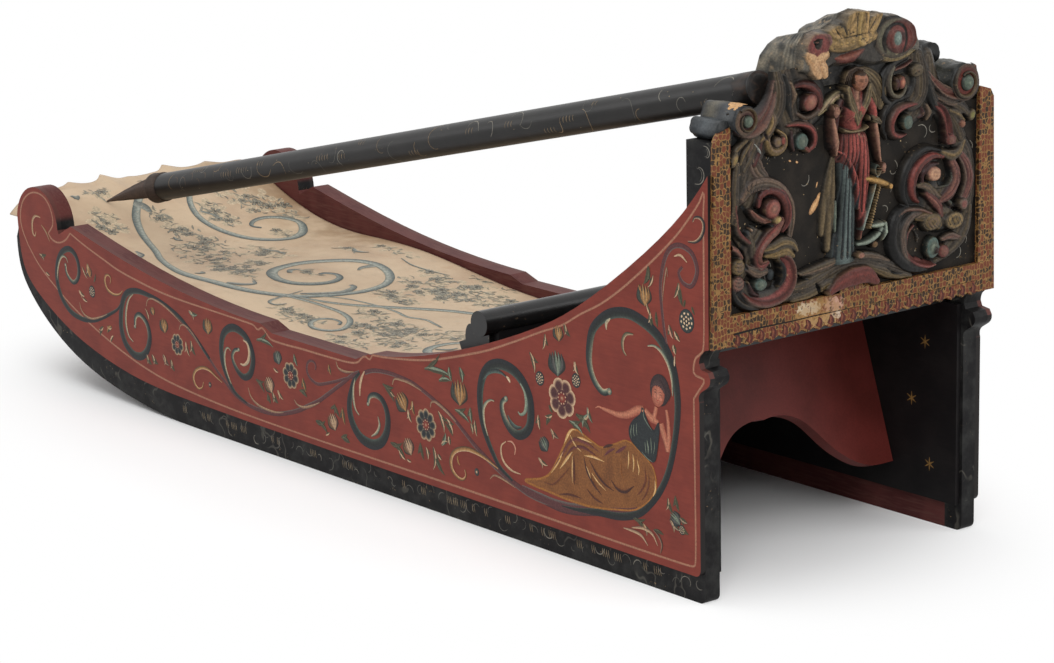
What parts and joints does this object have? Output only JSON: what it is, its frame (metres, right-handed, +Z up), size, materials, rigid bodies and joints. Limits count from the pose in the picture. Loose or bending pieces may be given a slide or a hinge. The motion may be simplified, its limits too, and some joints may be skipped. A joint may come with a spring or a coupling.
{
  "type": "painted push ice sled with a spiked pole",
  "caption": "Low wooden ice sled with prowed and painted side boards, carved backboard, seat, covered floor and a loose spiked pole laid across it.",
  "frame": {"origin": "on the ice under the middle of the whole box", "axes": "+X forward to the prow, +Y to the sled's left, +Z up"},
  "size_m": [1.741, 0.5, 0.7192],
  "materials": {
    "black": "black oil paint with faint grey marbling",
    "red_panel": "brick red oil paint with painted ornament",
    "spotted": "ochre oil paint with dark spots",
    "brace_paint": "dark red oil paint",
    "bare_wood": "aged oiled wood",
    "lining_paint": "dark paint with small stars",
    "carving": "carved wood with worn colours",
    "cover": "painted leather with blue-grey scrolls",
    "iron": "dark forged iron",
    "pole_paint": "black oil paint, worn at the end"
  },
  "bodies": {
    "sled": {"anchor_flukes": "carving", "anchor_head": "carving", "backboard_field": "black", "bottom_rail": "spotted", "cartouche": "carving", "cloak_tail": "carving", "crest_board": "carving", "crown": "carving", "figure_gown": "carving", "figure_head": "carving", "figure_left_arm": "carving", "figure_neck": "carving", "figure_right_arm": "carving", "floor_cover": "cover", "floor_plank_1": "bare_wood", "floor_plank_2": "bare_wood", "floor_plank_3": "bare_wood", "front_cross_bar": "bare_wood", "left_crest_volute": "carving", "left_lining": "lining_paint", "left_lower_scrolls": "carving", "left_painted_panel": "red_panel", "left_rail_bracket": "black", "left_runner_iron": "iron", "left_side_board": "black", "left_stile": "spotted", "left_upper_scrolls": "carving", "middle_cross_bar": "bare_wood", "mound": "carving", "prow_cross_bar": "bare_wood", "rear_cross_bar": "bare_wood", "right_crest_volute": "carving", "right_lining": "lining_paint", "right_lower_scrolls": "carving", "right_painted_panel": "red_panel", "right_rail_bracket": "black", "right_runner_iron": "iron", "right_side_board": "black", "right_stile": "spotted", "right_upper_scrolls": "carving", "scarf": "carving", "seat_board": "black", "seat_brace": "brace_paint", "thigh_rail": "black", "toothed_apron": "spotted", "veil": "carving", "well_board": "black", "well_front_board": "black"},
    "pole": {"pole_shaft": "pole_paint", "pole_ferrule": "iron", "pole_spike": "iron"}
  },
  "joints": [
    {"name": "pole_lift", "type": "slide", "parent": "sled", "child": "pole", "axis": [0, 0, 1], "range_m": [0, 0.3]}
  ]
}
